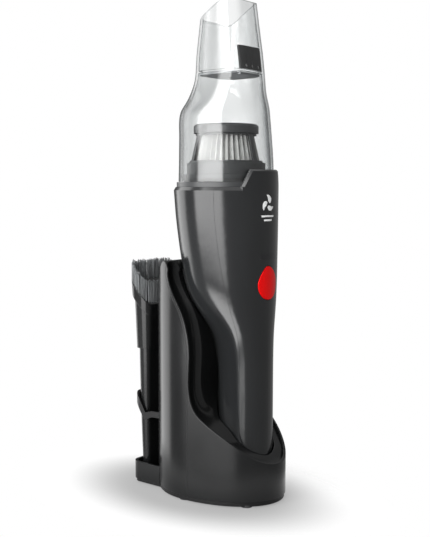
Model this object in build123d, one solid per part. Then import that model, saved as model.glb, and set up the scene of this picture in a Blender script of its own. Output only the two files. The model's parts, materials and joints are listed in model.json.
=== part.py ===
from build123d import *
import os
from math import cos, pi, radians, sin

# Handheld vacuum standing in its charging dock, with a crevice tool behind it.
# Millimetres. +Z up, front (power button) towards -Y, rear (tool) towards +Y,
# origin on the floor at the centre of the footprint.

# ---- driving dimensions ----
AXIS_Y = -17.0          # axis of motor, filter and dust cup
BODY_R = 46.8           # housing radius at its rim
RIM_Z = 277.0           # top of the housing
HANDLE_Z = 26.0         # bottom of the handle
WALL = 2.4              # moulded wall of the housing
TONGUE_TOP = 292.0      # front tongue that laps the cup
TONGUE_HALF_LOW, TONGUE_HALF_TOP = 27.2, 19.6
TONGUE_WALL, TONGUE_BEVEL = 2.6, 1.5
RIM_BEVEL_IN, RIM_BEVEL_DOWN = 1.9, 3.2
BUTTON_Z = 194.0
LENS_Z = 217.0

CUP_Z = 281.5           # lower edge of the dust cup
CUP_WALL = 2.3
MOUTH_FRONT_Z, MOUTH_REAR_Z = 437.5, 421.0
FLAP_Z = 374.0

DOCK_MID_Y = -3.0       # where the two half-ellipses of the dock footprint meet
DOCK_HALF_X = 48.0
DOCK_FRONT, DOCK_REAR = 73.0, 53.0
DOCK_WALL = 2.4
SHELL_Z = 5.2           # lower edge of the dock shells
SEAM_Y = -10.5
POCKET_GAP = 1.2        # gap between the vacuum and its pocket in the dock

REAR_LIMIT = 76.0       # the bristles reach this far back
TOOL_Z = 9.0
SLEEVE_Z = 127.0

# ---- outlines ----
# Half outline of the handle, from the middle of its front to the middle of its rear.
HANDLE = [(0, -63.5), (12, -60.4), (20.2, -53.2), (22, -49), (21.2, -42),
          (20.4, -34), (18.8, -26), (12.5, -18), (0, -12.5)]
# Angles of the matching points on the round rim, from the front.
RIM_ANGLES = [0, 28, 56, 66, 84, 102, 122, 148, 180]
# Height, and how far the outline has changed from handle to round rim.
BLEND = [(HANDLE_Z, 0), (60, 0), (100, 0), (125, 0.02), (140, 0.075), (150, 0.17), (160, 0.33),
         (170, 0.5), (180, 0.63), (192, 0.735), (207, 0.805), (225, 0.875), (250, 0.95), (RIM_Z, 1)]


def half_outline(share):
    """Points of the housing's half outline, blended from handle to rim."""
    points = []
    for (hx, hy), angle in zip(HANDLE, RIM_ANGLES):
        rx = BODY_R * sin(radians(angle))
        ry = AXIS_Y - BODY_R * cos(radians(angle))
        points.append((hx + (rx - hx) * share, hy + (ry - hy) * share))
    return points


def closed_outline(share, grow):
    """The whole outline, moved outwards by grow."""
    half = half_outline(share)
    loop = half + [(-x, y) for x, y in reversed(half[1:-1])]
    moved = []
    for i, (x, y) in enumerate(loop):
        ax, ay = loop[i - 1]
        bx, by = loop[(i + 1) % len(loop)]
        normal = Vector(by - ay, ax - bx).normalized()
        moved.append((x + normal.X * grow, y + normal.Y * grow))
    return moved


def smooth_face(points, z):
    return Pos(0, 0, z) * make_face(Spline(*points, periodic=True))


def smooth_value(table, at, column=1):
    """Value at a height, from a table of heights and values, by cubic interpolation."""
    rows = [table[0]] + list(table) + [table[-1]]
    for i in range(1, len(rows) - 2):
        if at <= rows[i + 1][0] or i == len(rows) - 3:
            break
    z0, z1 = rows[i][0], rows[i + 1][0]
    v0, v1 = rows[i][column], rows[i + 1][column]

    def slope(j):
        rise = rows[min(j + 1, len(rows) - 1)][column] - rows[j - 1][column]
        run = rows[min(j + 1, len(rows) - 1)][0] - rows[j - 1][0]
        return rise / run if run else 0.0

    t = min(max((at - z0) / (z1 - z0), 0.0), 1.0)
    m0, m1 = slope(i) * (z1 - z0), slope(i + 1) * (z1 - z0)
    return ((2 * t**3 - 3 * t**2 + 1) * v0 + (t**3 - 2 * t**2 + t) * m0
            + (3 * t**2 - 2 * t**3) * v1 + (t**3 - t**2) * m1)


def heights(low, high, step):
    """Evenly spaced heights from low to high."""
    count = max(2, round((high - low) / step))
    return [low + (high - low) * i / count for i in range(count + 1)]


def body_loft(grow, low=HANDLE_Z, high=RIM_Z):
    """The housing's outer shape, grown or shrunk, between two heights."""
    faces = [smooth_face(closed_outline(smooth_value(BLEND, min(z, RIM_Z)), grow), z)
             for z in heights(low, high, 11)]
    return loft(faces)


def tube(r_out, r_in, low, high, y=AXIS_Y):
    return Pos(0, y, low) * extrude(Circle(r_out) - Circle(r_in), high - low)


def disc(r, low, high, x=0, y=AXIS_Y):
    return Pos(x, y, low) * extrude(Circle(r), high - low)


def slab(x0, x1, y0, y1, z0, z1):
    return Pos((x0 + x1) / 2, (y0 + y1) / 2, (z0 + z1) / 2) * Box(x1 - x0, y1 - y0, z1 - z0)


def side_prism(wire, half=70):
    """A prism along X over a closed outline drawn in the YZ plane."""
    return extrude(Plane.YZ * make_face(wire), half, both=True)


def rod_y(r, x, z, y0, y1):
    return Pos(x, (y0 + y1) / 2, z) * Rot(-90, 0, 0) * Cylinder(r, y1 - y0)


def rod_x(r, x0, x1, y, z):
    return Pos((x0 + x1) / 2, y, z) * Rot(0, 90, 0) * Cylinder(r, x1 - x0)


def around_axis(angle):
    """Frame on the motor axis, turned by an angle in degrees."""
    return Pos(0, AXIS_Y, 0) * Rot(0, 0, angle)


# ---- housing ----
def egg(half_width, half_height, z, y0, y1):
    """Egg-shaped prism along Y, narrower at its top."""
    w, h = half_width, half_height
    outline = Spline((0, h), (w * 0.66, h * 0.62), (w, -h * 0.12), (w * 0.62, -h * 0.8), (0, -h),
                     (-w * 0.62, -h * 0.8), (-w, -h * 0.12), (-w * 0.66, h * 0.62), periodic=True)
    facing_front = Plane(origin=(0, y1, z), x_dir=(1, 0, 0), z_dir=(0, -1, 0))
    return extrude(facing_front * make_face(outline), y1 - y0)


def split_side():
    """Everything in front of the parting surface, which follows the handle's crease."""
    outline = [Line((-90, 0), (-90, 310)), Line((-90, 310), (-36, 310)), Line((-36, 310), (-36, 262)),
               Spline((-36, 262), (-38.5, 225), (-44, 180), (-48, 150), (-48.6, 120)),
               Line((-48.6, 120), (-48.6, 0)), Line((-48.6, 0), (-90, 0))]
    return side_prism(Wire(outline))


outer = body_loft(0)
inner = body_loft(-WALL, HANDLE_Z + 2.6, RIM_Z + 2)
front_zone = split_side()
tongue_sides = Polyline((-TONGUE_HALF_LOW, RIM_Z - 0.5), (TONGUE_HALF_LOW, RIM_Z - 0.5),
                        (TONGUE_HALF_TOP, TONGUE_TOP), (-TONGUE_HALF_TOP, TONGUE_TOP), close=True)
tongue_prism = extrude(Plane.XZ * make_face(tongue_sides), 80)
VENT_HALF, VENT_FRONT, VENT_LOW, VENT_HIGH = 31.5, 0.0, 166.0, 204.0
# Screw posts: x, z and the y where the front half meets the rear half.
POSTS = [(0, 40.0, -40.0), (0, 134.0, -40.0), (-30.5, 236.0, -30.0), (30.5, 236.0, -30.0)]


def make_tongue():
    """Front tongue with bevelled edges, flush with the housing."""
    tongue = tube(BODY_R - 0.02, BODY_R - TONGUE_WALL, RIM_Z - 0.5, TONGUE_TOP) & tongue_prism

    def on_the_outside(edge):
        middle = edge.center()
        reach = (middle.X**2 + (middle.Y - AXIS_Y)**2) ** 0.5
        return middle.Z > RIM_Z + 1 and reach > BODY_R - 1.2

    return chamfer(tongue.edges().filter_by(on_the_outside), TONGUE_BEVEL)


def rim_bevel():
    """What is cut from the housing's rim to bevel it, everywhere but under the tongue."""
    middle = RIM_Z - RIM_BEVEL_DOWN / 2
    ring = disc(BODY_R + 10, RIM_Z - RIM_BEVEL_DOWN, RIM_Z)
    ring = ring - Pos(0, AXIS_Y, middle) * Cone(BODY_R, BODY_R - RIM_BEVEL_IN, RIM_BEVEL_DOWN)
    return ring - slab(-TONGUE_HALF_LOW, TONGUE_HALF_LOW, -90, AXIS_Y, RIM_Z - 10, RIM_Z + 10)


def make_housing():
    shell = outer - inner - rim_bevel()
    shell = shell + make_tongue()
    button_hole = egg(13.4, 15.0, BUTTON_Z, -75, -50)
    lens_hole = slab(-11.3, 11.3, -75, -50, LENS_Z - 2.3, LENS_Z + 2.3)
    vent_hole = slab(-VENT_HALF, VENT_HALF, VENT_FRONT, 40, VENT_LOW, VENT_HIGH)
    contact_hole = slab(-9.2, 9.2, -42.2, -33.8, HANDLE_Z - 1, HANDLE_Z + 4)
    shell = shell - button_hole - lens_hole - vent_hole - contact_hole
    ledge = tube(BODY_R - 2, 38.0, 266.6, 269.0) & inner
    for x, z, y in POSTS:
        post_front = rod_y(3.6, x, z, -80, y) & inner
        post_rear = rod_y(3.6, x, z, y, 40) & inner
        shell = shell + post_front + post_rear - rod_y(1.2, x, z, y - 12, y + 0.1)
        shell = shell - rod_y(1.6, x, z, y - 0.1, 50) - rod_y(3.0, x, z, y + 4, 50)
    shell = shell + ledge
    return shell & front_zone, shell - front_zone


def make_screws(places, y_of_head, length, head_r=2.8, shank_r=1.15):
    """Pan-head screws pointing towards -Y."""
    group = []
    for x, z, y in places:
        head_y = y + y_of_head
        screw = rod_y(head_r, x, z, head_y, head_y + 2.0) + rod_y(shank_r, x, z, head_y - length, head_y)
        slot = slab(x - 1.6, x + 1.6, head_y + 1.1, head_y + 3, z - 0.35, z + 0.35)
        screw = screw - slot - Pos(x, head_y + 1.5, z) * Rot(0, 90, 0) * Box(3.2, 2, 0.7)
        group.append(screw)
    return Compound(group)


def make_top_collar():
    """Bulkhead that closes the housing, with the air inlet grille and the step the cup stands on."""
    part = disc(44.0, 272.0, 281.2) - disc(41.0, 271, 277.2) - disc(15.0, 270, 283)
    part = part + tube(17.0, 15.0, 266.0, 281.2)
    grille = disc(15.2, 279.2, 281.2) - disc(15.2, 279, 282)
    for i in range(5):
        x = -12.0 + 6.0 * i
        bar = slab(x - 0.8, x + 0.8, AXIS_Y - 15.2, AXIS_Y + 15.2, 279.0, 281.2) & disc(15.2, 279, 281.2)
        part = part + bar
    part = part + (slab(-15, 15, AXIS_Y - 0.8, AXIS_Y + 0.8, 279.0, 281.2) & disc(15.2, 279, 281.2))
    return part


def make_cup():
    """Clear dust cup: a round cup that narrows at its shoulder into the suction nozzle."""
    stations = [  # z, half width, front, rear, front radius, rear radius
        (CUP_Z, 42.3, AXIS_Y - 42.3, AXIS_Y + 42.3, 42.3, 42.3),
        (300, 41.9, AXIS_Y - 41.9, AXIS_Y + 41.9, 41.9, 41.9),
        (322, 41.0, -57.2, 24.8, 41.0, 41.0),
        (337, 40.3, -55.8, 24.8, 40.3, 40.3),
        (345, 38.2, -54.8, 21.4, 37.0, 36.0),
        (352, 34.6, -53.5, 14.6, 32.6, 29.0),
        (360, 30.4, -51.7, 8.0, 27.0, 19.0),
        (370, 27.2, -49.6, 3.0, 20.0, 12.5),
        (391, 26.0, -47.0, 0.7, 18.0, 10.0),
        (416, 24.4, -43.0, -2.2, 15.5, 8.5),
        (440, 23.0, -39.6, -4.6, 14.0, 8.0)]

    def side(grow):
        faces = []
        for z in heights(CUP_Z, 440, 7):
            a, front, rear, rf, rr = [smooth_value(stations, z, column) for column in range(1, 6)]
            outline = even_points(a + grow, front - grow, rear + grow, rf + grow, rr + grow)
            faces.append(smooth_face(outline, z))
        return loft(faces)

    solid = side(0)
    hollow = side(-CUP_WALL)
    mouth = Wire([Spline((8, 416.5), (-4, MOUTH_REAR_Z), (-20, 431.2), (-31, 436.6), (-37, MOUTH_FRONT_Z),
                         (-41.5, 434.6), (-46, 428)),
                  Line((-46, 428), (-46, 460)), Line((-46, 460), (8, 460)), Line((8, 460), (8, 416.5))])
    cut = side_prism(mouth)
    shell = solid - hollow - cut
    seat = hollow & slab(-80, 80, -90, 60, FLAP_Z + 1.8, FLAP_Z + 3.6)
    seat = seat - rounded_prism(21.6, -41.0, -2.0, 9, 9, 370, 380)
    return shell + seat, hollow


def even_points(a, front, rear, r_front, r_rear, count=28):
    """Points spread evenly round an outline with its own front and rear corner radii."""
    wire = rounded(a, front, rear, r_front, r_rear)
    return [(p.X, p.Y) for p in (wire.position_at(i / count) for i in range(count))]


def rounded(a, front, rear, r_front, r_rear):
    """A closed outline of half width a between two Y values."""
    k = sin(radians(45))
    rf, rr = min(r_front, a - 0.05), min(r_rear, a - 0.05)
    if rear - front - rf - rr < 0.1:
        rf = rr = (rear - front) / 2 - 0.05
        rf, rr = min(rf, a - 0.05), min(rr, a - 0.05)
    right = [Line((0, front), (a - rf, front)),
             ThreePointArc((a - rf, front), (a - rf + rf * k, front + rf - rf * k), (a, front + rf)),
             Line((a, front + rf), (a, rear - rr)),
             ThreePointArc((a, rear - rr), (a - rr + rr * k, rear - rr + rr * k), (a - rr, rear)),
             Line((a - rr, rear), (0, rear))]
    left = [Line((0, rear), (-a + rr, rear)),
            ThreePointArc((-a + rr, rear), (-a + rr - rr * k, rear - rr + rr * k), (-a, rear - rr)),
            Line((-a, rear - rr), (-a, front + rf)),
            ThreePointArc((-a, front + rf), (-a + rf - rf * k, front + rf - rf * k), (-a + rf, front)),
            Line((-a + rf, front), (0, front))]
    return Wire(right + left)


def rounded_prism(a, front, rear, r_front, r_rear, low, high):
    return Pos(0, 0, low) * extrude(make_face(rounded(a, front, rear, r_front, r_rear)), high - low)


# ---- parts inside the housing ----
MOTOR_R, MOTOR_LOW, MOTOR_HIGH = 18.5, 192.0, 240.0
SHAFT_R = 1.6
FAN_LOW, FAN_HIGH = 246.0, 258.0


def make_motor_can():
    can = disc(MOTOR_R, MOTOR_LOW, MOTOR_HIGH) + disc(6.0, MOTOR_LOW - 3, MOTOR_LOW)
    can = can + disc(6.0, MOTOR_HIGH, MOTOR_HIGH + 2.5)
    for angle in range(0, 360, 60):
        x, y = 12.5 * cos(radians(angle)), AXIS_Y + 12.5 * sin(radians(angle))
        can = can - disc(2.4, MOTOR_LOW - 1, MOTOR_LOW + 6, x, y)
    return can - disc(SHAFT_R + 0.05, MOTOR_LOW - 10, MOTOR_HIGH + 10)


def make_motor_shaft():
    return disc(SHAFT_R, MOTOR_LOW - 2.5, FAN_HIGH + 2)


def make_impeller():
    wheel = disc(30.0, FAN_LOW, FAN_LOW + 1.6) + disc(6.0, FAN_LOW, FAN_HIGH)
    for k in range(9):
        blade = around_axis(40 * k) * Pos(17.4, 4.5, FAN_LOW + 5.6) * Rot(0, 0, 24) * Box(25, 1.2, 8.2)
        wheel = wheel + blade
    return (wheel & disc(30.0, FAN_LOW, FAN_HIGH)) - disc(SHAFT_R, FAN_LOW - 1, FAN_HIGH + 1)


def make_fan_shroud():
    """Round cover over the impeller, open in the middle towards the inlet."""
    shroud = tube(34.0, 31.8, FAN_LOW - 3, FAN_HIGH + 3.5)
    shroud = shroud + tube(34.0, 14.0, FAN_HIGH + 1.8, FAN_HIGH + 3.5)
    for k in range(12):
        outlet = around_axis(30 * k) * Pos(33, 0, FAN_LOW + 1.5) * Rot(0, 0, 35) * Box(9, 5, 4)
        shroud = shroud - outlet
    return shroud


def make_motor_mount():
    """Rubber-damped carrier that holds the motor in the housing."""
    mount = tube(22.5, MOTOR_R + 0.02, MOTOR_HIGH - 14, MOTOR_HIGH)
    mount = mount + tube(22.5, 7.0, MOTOR_HIGH, MOTOR_HIGH + 2.4)
    for k in range(6):
        x, y = 12.5 * cos(radians(60 * k + 30)), AXIS_Y + 12.5 * sin(radians(60 * k + 30))
        mount = mount - disc(3.0, MOTOR_HIGH - 1, MOTOR_HIGH + 4, x, y)
    arm_z = MOTOR_HIGH - 11
    arms = Pos(0, AXIS_Y, arm_z) * Box(76.0, 8, 4) + Pos(0, AXIS_Y, arm_z) * Box(8, 76, 4)
    arms = (arms & tube(38.0, 20.0, arm_z - 4, arm_z + 4)) - slab(-50, 50, -70, -46, 200, 260)
    return mount + arms


CELL_R, CELL_LOW, CELL_HIGH = 9.1, 52.0, 117.0
CELLS = [(-9.4, -46.6), (9.4, -46.6), (0.0, -30.2)]


def make_battery_cells():
    group = []
    for x, y in CELLS:
        cell = disc(CELL_R, CELL_LOW, CELL_HIGH - 1.0, x, y) + disc(3.0, CELL_HIGH - 1.0, CELL_HIGH, x, y)
        group.append(cell)
    return Compound(group)


def make_battery_holder():
    """Two end cradles tied by a strap that keep the cells together."""
    outline = body_loft(-WALL - 0.6, 44.0, 128.0)
    part = outline & (slab(-30, 30, -80, 0, 48.5, 57) + slab(-30, 30, -80, 0, 112, 119.5))
    for x, y in CELLS:
        part = part - disc(CELL_R + 0.1, CELL_LOW - 0.2, CELL_HIGH - 0.8, x, y) - disc(4.0, 40, 130, x, y)
    strap = slab(-3, 3, -60.2, -57.6, 50, 118) & outline
    return part + strap


def make_control_board():
    return slab(-17, 17, -48.6, -47.0, 176, 230) + slab(-13, -5, -47.0, -44.5, 180, 188) + slab(
        3, 11, -47.0, -43.8, 206, 220)


SWITCH_FRONT = -53.8


def make_switch_body():
    block = slab(-4, 4, SWITCH_FRONT + 0.4, -48.6, BUTTON_Z - 4, BUTTON_Z + 4)
    return block - rod_y(1.75, 0, BUTTON_Z, SWITCH_FRONT - 1, -50.0)


def make_switch_plunger():
    return rod_y(1.7, 0, BUTTON_Z, -56.3, -51.8)


def make_power_button():
    cap = (egg(12.9, 14.5, BUTTON_Z, -75, -57.5) & body_loft(0.5, 160, 230.0))
    flange = egg(14.6, 16.2, BUTTON_Z, -58.6, -56.8) & inner_button
    stem = rod_y(3.2, 0, BUTTON_Z, -57.0, -56.3)
    return cap + flange + stem


def make_indicator_lens():
    return slab(-11.2, 11.2, -75, -58.6, LENS_Z - 2.2, LENS_Z + 2.2) & outer


def make_exhaust_grille():
    """Louvred plate in the rear of the housing, standing a little proud of it."""
    gap, pitch = 0.15, 3.8
    plate = slab(-VENT_HALF + gap, VENT_HALF - gap, VENT_FRONT + gap, 40, VENT_LOW + gap, VENT_HIGH - gap)
    plate = (plate & body_loft(0.5, 140, 230)) - inner
    for i in range(int((VENT_HIGH - VENT_LOW) / pitch) - 1):
        z = VENT_LOW + 5.2 + pitch * i
        for side in (-1, 1):
            middle = side * (VENT_HALF - 4) / 2
            half = (VENT_HALF - 6) / 2 * min(1.0, 0.35 + 0.1 * i)
            plate = plate - slab(middle - half, middle + half, VENT_FRONT + 4, 50, z - 1.1, z + 1.1)
    return plate


def make_handle_contacts():
    base = slab(-9.0, 9.0, -42.0, -34.0, HANDLE_Z + 0.6, HANDLE_Z + 6.5)
    for x in (-5.0, 5.0):
        base = base - disc(2.0, HANDLE_Z, HANDLE_Z + 5.0, x, -38.0)
    return base


# ---- filter ----
def make_filter_base():
    return tube(34.9, 30.0, 288.0, 298.0) + tube(38.2, 24.0, 284.2, 288.0)


def make_filter_cage():
    """Cone of ribs round the pleats."""
    shell = Pos(0, AXIS_Y, 311.0) * Cone(32.7, 26.6, 26.0) - Pos(0, AXIS_Y, 311.0) * Cone(30.9, 24.8, 26.0)
    keep = None
    for k in range(6):
        bar = around_axis(60 * k + 12) * Pos(30, 0, 311) * Box(20, 4.2, 27)
        keep = bar if keep is None else keep + bar
    rings = tube(34, 20, 298, 300.2) + tube(34, 20, 322, 324)
    return shell & (keep + rings)


def make_filter_media():
    """Pleated cone."""
    count = 36
    faces = []
    for z, r in ((298.0, 30.3), (324.0, 24.3)):
        points = []
        for k in range(count):
            for part, radius in ((0, r), (0.5, r - 3.2)):
                angle = 2 * pi * (k + part) / count
                points.append((radius * cos(angle), AXIS_Y + radius * sin(angle)))
        faces.append(Pos(0, 0, z) * make_face(Polyline(*points, close=True)))
    cone = loft(faces, ruled=True)
    return cone - Pos(0, AXIS_Y, 311.0) * Cone(24.5, 18.6, 30.0)


def make_filter_cap():
    cap = disc(28.8, 324.0, 332.0)
    cap = fillet(cap.edges().filter_by(GeomType.CIRCLE).sort_by(Axis.Z)[-1], 3.0)
    return cap - disc(26.8, 323.0, 329.8) + tube(27.2, 24.0, 324.02, 326.0)


def make_filter_seal():
    return tube(38.0, 35.0, 281.2, 284.2)


# ---- inlet flap ----
PIN_XS, PIN_Z = (-8.8, 0.0, 8.8), 380.6


def make_flap_bracket():
    """Ribbed rubber strip on the front wall of the nozzle."""
    wall = nozzle_inner & slab(-15.5, 15.5, -60, -30, 377.8, 397.5)
    inside = Pos(0, 1.8, 0.0) * (nozzle_inner & slab(-40, 40, -60, 10, 372, 402))
    strip = wall - inside
    for i in range(7):
        x = -13.2 + 4.4 * i
        rib = (nozzle_inner & slab(x - 1.0, x + 1.0, -60, -30, 377.8, 396.5)) - Pos(0, 2.9, 0) * (
            nozzle_inner & slab(-40, 40, -60, 10, 372, 402))
        strip = strip + rib
    for x in PIN_XS:
        strip = strip - rod_y(1.5, x, PIN_Z, -60, -30)
    return strip


def make_flap_pins():
    return Compound([rod_y(1.45, x, PIN_Z, -45.0, -42.3) for x in PIN_XS])


HINGE_Y, HINGE_Z = -41.8, FLAP_Z + 0.2


def make_flap():
    plate = rounded_prism(23.4, -40.8, 0.4 - 1.6, 13, 9, FLAP_Z - 0.2, FLAP_Z + 1.4)
    barrel = Pos(0, HINGE_Y, HINGE_Z) * Rot(0, 90, 0) * Cylinder(1.2, 28)
    web = slab(-14, 14, HINGE_Y, -38, FLAP_Z - 0.6, FLAP_Z + 0.8)
    return plate + barrel + web


# ---- dock ----
# Side outline (y, z) of the front edge, from the low rim up the wings, and of the rounded crest behind it.
EDGE = [(-80, 34.6), (-76, 36.2), (-69.7, 40.2), (-56.5, 51.2), (-36.6, 66.2), (-26.7, 73.2),
        (-17.9, 81.5), (-12.5, 96.0), (-12.5, 136.0), (-9.6, 153.0), (-4.5, 167.0), (4.0, 180.0),
        (10.5, 191.0), (13.5, 201.0)]
CREST = [(13.5, 201.0), (14.2, 208.0), (19.0, 211.8), (24.5, 208.5), (33.0, 193.0), (43.5, 168.0),
         (49.0, 148.0), (51.0, 130.0)]


def footprint(grow, z):
    """Two half-ellipses that meet at the dock's widest line."""
    x, f, r = DOCK_HALF_X + grow, DOCK_FRONT + grow, DOCK_REAR + grow
    points = []
    for i in range(24):
        angle = 2 * pi * i / 24
        reach = f if cos(angle) > 0 else r
        points.append((x * sin(angle), DOCK_MID_Y - reach * cos(angle)))
    return Pos(0, 0, z) * make_face(Spline(*points, periodic=True))


def column(grow, low, high):
    return extrude(footprint(grow, low), high - low)


def dock_side(shift=0.0, drop=0.0):
    """Prism of the dock's side outline: sloped rim, upright wing edges and rounded crest."""
    edge = Spline(*[(y + shift, z) for y, z in EDGE])
    crest = Spline(*[(y, z - drop) if i else (y + shift, z) for i, (y, z) in enumerate(CREST)])
    last = CREST[-1]
    wire = Wire([Line((EDGE[0][0] + shift, 0), (EDGE[0][0] + shift, EDGE[0][1])), edge, crest,
                 Line((last[0], last[1] - drop), (60, last[1] - drop)), Line((60, last[1] - drop), (60, 0)),
                 Line((60, 0), (EDGE[0][0] + shift, 0))])
    return side_prism(wire)


def seam_zone():
    """Everything in front of the seam between the dock's front and back shells."""
    upper = [(y + 2.4, z) for y, z in EDGE if z > 150]
    wire = Wire([Line((-95, 0), (SEAM_Y, 0)), Line((SEAM_Y, 0), (SEAM_Y, 130)),
                 Spline((SEAM_Y, 130), *upper, (15.6, 206.0), (17.5, 216.0)), Line((17.5, 216), (-95, 216)),
                 Line((-95, 216), (-95, 0))])
    return side_prism(wire)


def front_cutter(back):
    """Space in front of the dock's sloped floor and of the concave web that cradles the handle."""
    rows = [(z, y) for y, z in EDGE]
    faces = []
    for z in heights(34.0, 214.0, 7.5):
        y = smooth_value(rows, z) + back
        lip = min(max((z - 74.0) / 22.0, 0.0), 1.0)
        reach = [(50, 1.6), (44, 2.0), (34, 3.2), (24, 2.9 - 8.4 * lip), (12, 2.9 - 8.4 * lip)]
        right = [(x, y + add) for x, add in reach]
        curve = Spline(*right, *[(-x, yy) for x, yy in reversed(right)])
        left, top = (-50, right[0][1]), (50, right[0][1])
        wire = Wire([curve, Line(left, (-50, -100)), Line((-50, -100), (50, -100)), Line((50, -100), top)])
        faces.append(Pos(0, 0, z) * make_face(wire))
    return loft(faces)


def make_dock():
    """Front shell with floor, web and handle pocket, and the back shell of the column."""
    whole = column(0, SHELL_Z, 214) & dock_side()
    core = (column(-DOCK_WALL, 0, 213) & dock_side(shift=DOCK_WALL, drop=DOCK_WALL))
    wall = whole - core
    inset = column(-2.0, SHELL_Z, 214)
    space = front_cutter(0.0) & inset
    backing = (front_cutter(3.4) & inset) & whole
    pocket = body_loft(POCKET_GAP, HANDLE_Z - 0.4, RIM_Z)
    pocket_wall = (body_loft(POCKET_GAP + 2.0, HANDLE_Z - 3.2, RIM_Z) & inset) & whole
    backing = backing + pocket_wall
    zone = seam_zone()
    front = (wall & zone) + backing - space - pocket
    front = front - slab(-13.5, 13.5, -45.5, -30.5, 18, HANDLE_Z + 2)
    for x, y in DOCK_SCREWS:
        post = disc(3.4, SHELL_Z, 90.0, x, y) & (whole - space)
        front = front + (post - disc(1.2, 0, 22.0, x, y))
    back = (wall - zone) - backing
    back = back - JACK_HOLE
    return keep_largest(front), keep_largest(back)


def keep_largest(shape):
    """The main body of a shell, without the thin strips that a cut leaves beside it."""
    return max(shape.solids(), key=lambda solid: solid.volume)


DOCK_SCREWS = [(-30.0, -38.0), (30.0, -38.0), (-36.0, -16.0), (36.0, -16.0)]
JACK_HOLE = rod_x(5.2, 36.0, 52.0, 16.0, 14.0)
POCKET_HALF, POCKET_REAR, POCKET_TOP = 35.5, 68.0, 20.5


def make_base_plate():
    """Floor plate under the dock and its tool pocket, with screw holes and ventilation slots."""
    plate = column(-1.2, 1.2, 4.0) + rounded_prism(POCKET_HALF - 1.2, 20, POCKET_REAR - 1.2, 2, 8, 1.2, 4.0)
    rim = (column(-1.2, 1.2, SHELL_Z - 0.02) - column(-3.4, 1, 8)) & slab(-60, 60, -90, 34, 0, 10)
    plate = plate + rim
    for x, y in DOCK_SCREWS:
        plate = plate - disc(1.7, 0, 10, x, y) - disc(3.2, 0, 2.6, x, y)
    for i in range(5):
        y = -8.0 + 7.0 * i
        plate = plate - slab(-16, 16, y - 1.2, y + 1.2, 0, 10)
    for x, y in FEET:
        plate = plate - disc(5.1, 0, 2.2, x, y)
    return plate


FEET = [(-24.0, -58.0), (24.0, -58.0), (-41.0, -3.0), (41.0, -3.0), (-26.0, 57.0), (26.0, 57.0)]


def make_feet():
    return Compound([disc(5.0, 0, 2.2, x, y) for x, y in FEET])


def make_dock_screws():
    group = []
    for x, y in DOCK_SCREWS:
        screw = disc(3.0, 1.3, 2.6, x, y) + disc(1.15, 2.6, 15.0, x, y)
        for half_x, half_y in ((1.6, 0.35), (0.35, 1.6)):
            screw = screw - slab(x - half_x, x + half_x, y - half_y, y + half_y, 1.0, 1.9)
        group.append(screw)
    return Compound(group)


def make_tool_pocket():
    """Open-topped box at the rear foot of the dock that the tool stands in."""
    box = rounded_prism(POCKET_HALF, 20, POCKET_REAR, 2, 9, SHELL_Z - 1.15, POCKET_TOP)
    box = box - rounded_prism(POCKET_HALF - 2.4, 10, POCKET_REAR - 2.4, 2, 7, SHELL_Z + 2.0, POCKET_TOP + 5)
    return keep_largest(box - column(0.0, 0, 60))


def make_tool_clip():
    """Slanted strap that keeps the tool upright against the column."""
    ring = rounded_prism(31.4, 20, 68.9, 2, 9, 50, 95) - rounded_prism(29.6, 10, 66.9, 2, 7, 40, 100)
    side = Polyline((25, 64.6), (46, 64.0), (54.8, 60.0), (63, 72.0), (70, 79.0), (70, 86.4), (62, 80.5),
                    (54.0, 67.2), (46, 69.6), (25, 70.3), close=True)
    strap = (ring & side_prism(side)) - column(0.0, 0, 200)
    return Compound(strap.solids())


def make_charging_jack():
    """Round socket in the dock's side for the charger's plug."""
    body = rod_x(5.1, 36.0, 44.6, 16.0, 14.0) - rod_x(2.9, 37.5, 46.0, 16.0, 14.0)
    return body + slab(33.0, 36.0, 10.0, 22.0, 8.0, 20.0)


def make_jack_pin():
    return rod_x(0.95, 37.5, 43.6, 16.0, 14.0)


def make_contact_block():
    """Block in the bottom of the handle pocket that carries the charging contacts."""
    block = slab(-13.3, 13.3, -45.3, -30.7, 18.4, 24.9) + slab(-16, 16, -47, -29, 17.0, 20.3)
    for x in (-5.0, 5.0):
        block = block - disc(1.55, 10, 40, x, -38.0)
    return block


def make_dock_contacts():
    return Compound([disc(1.5, 12.0, 28.2, x, -38.0) for x in (-5.0, 5.0)])


def make_dock_board():
    board = slab(-20, 20, -50, -26, 10.4, 12.0)
    for x in (-5.0, 5.0):
        board = board - disc(1.55, 5, 20, x, -38.0)
    return board


# ---- crevice and dusting tool ----
def flat_tube(half_x, front, rear, radius, z):
    return Pos(0, 0, z) * make_face(rounded(half_x, front, rear, radius, radius))


def make_crevice_tool():
    tool = loft([flat_tube(27.2, 54.0, 62.0, 3.5, TOOL_Z), flat_tube(28.0, 53.6, 65.2, 4.5, 100.0),
                 flat_tube(28.0, 53.6, 66.6, 5.0, 192.0)])
    bore = loft([flat_tube(25.4, 55.8, 60.2, 2.0, TOOL_Z - 0.5), flat_tube(26.2, 55.4, 63.4, 3.0, 100.0),
                 flat_tube(26.2, 55.4, 64.8, 3.2, 193.0)])
    side = Polyline((45, 0), (80, 0), (80, 196), (68, 187), (52, 166), (45, 158), close=True)
    return (tool - bore) & side_prism(side)


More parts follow.
